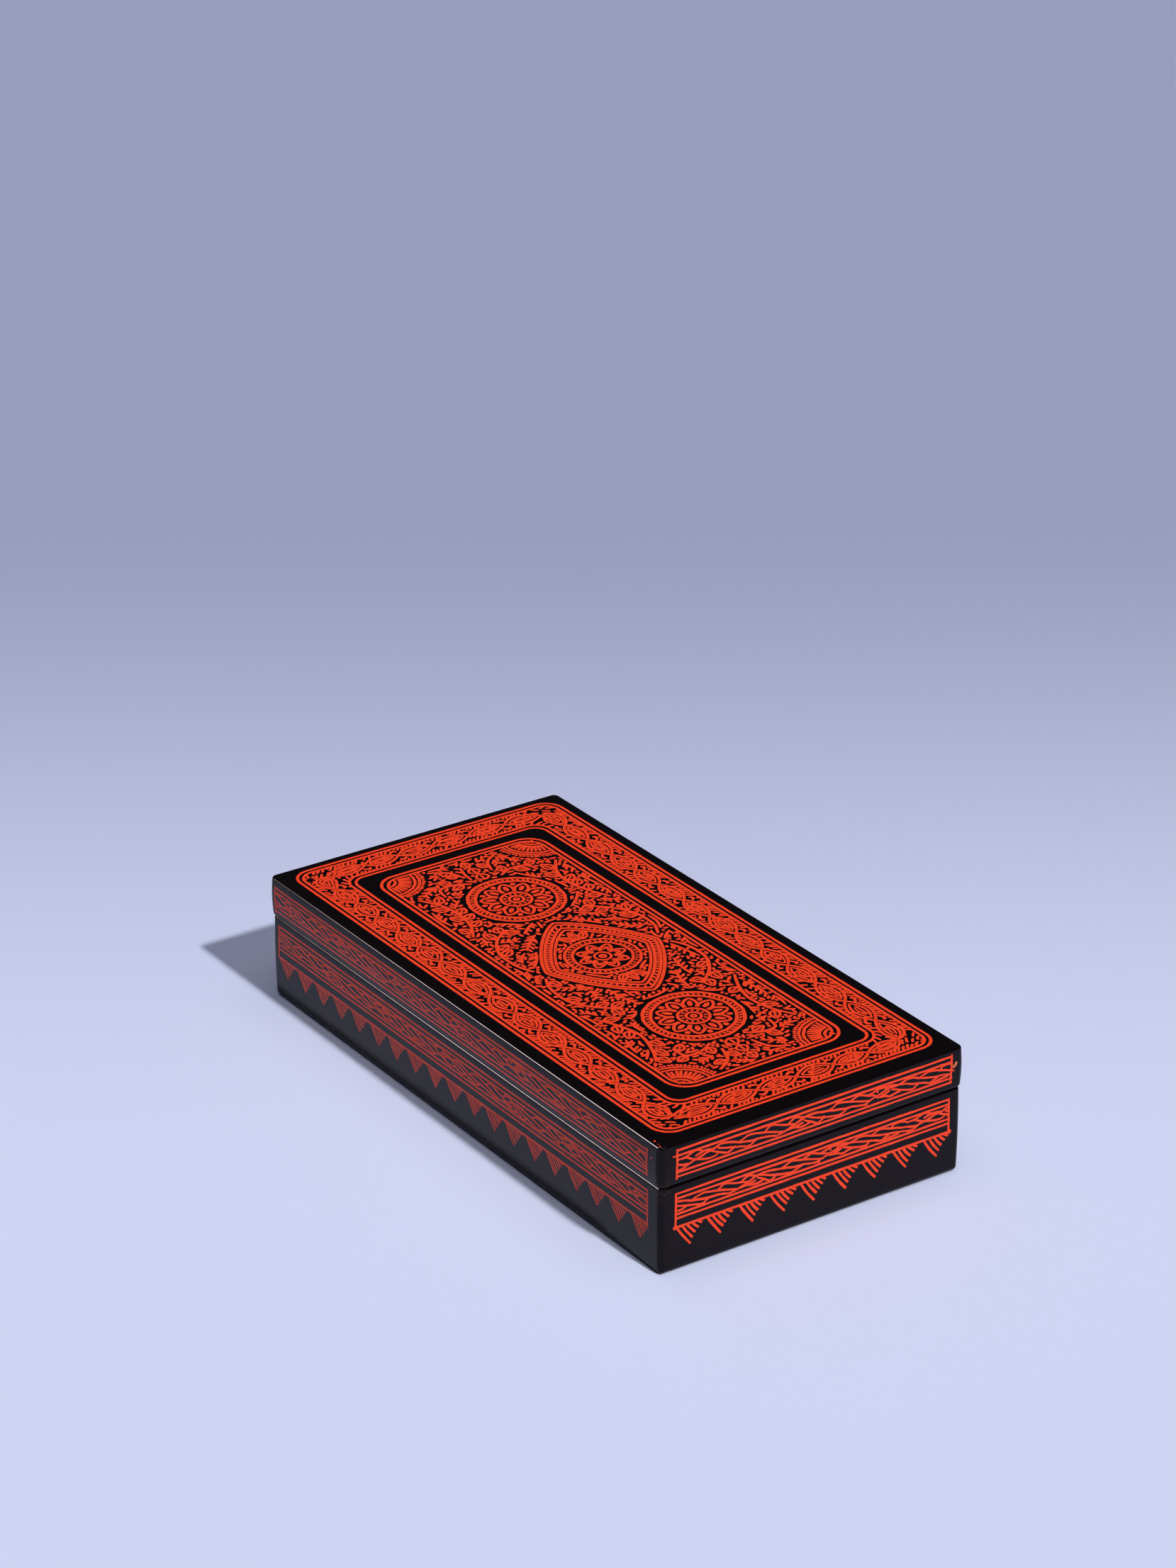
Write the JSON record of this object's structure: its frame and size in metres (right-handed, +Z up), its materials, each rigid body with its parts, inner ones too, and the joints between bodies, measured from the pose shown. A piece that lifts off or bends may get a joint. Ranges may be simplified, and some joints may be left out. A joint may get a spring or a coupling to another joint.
{
  "type": "lacquer box",
  "caption": "Low rectangular black lacquer box with a lift-off lid that sits flush outside an inner rim, covered in fine red inlaid line work.",
  "frame": {"origin": "on the surface that the box stands on, under the middle of the box", "axes": "+X along the box's long side, +Y along its short side, +Z up through the lid"},
  "size_m": [0.23, 0.117, 0.0445],
  "materials": {
    "black_lacquer": "black lacquer over wood, polished to a gloss",
    "red_lacquer": "vermilion lacquer filled into cut lines and polished flush"
  },
  "bodies": {
    "root": {"box_body": "black_lacquer", "lid": "black_lacquer"}
  },
  "joints": []
}
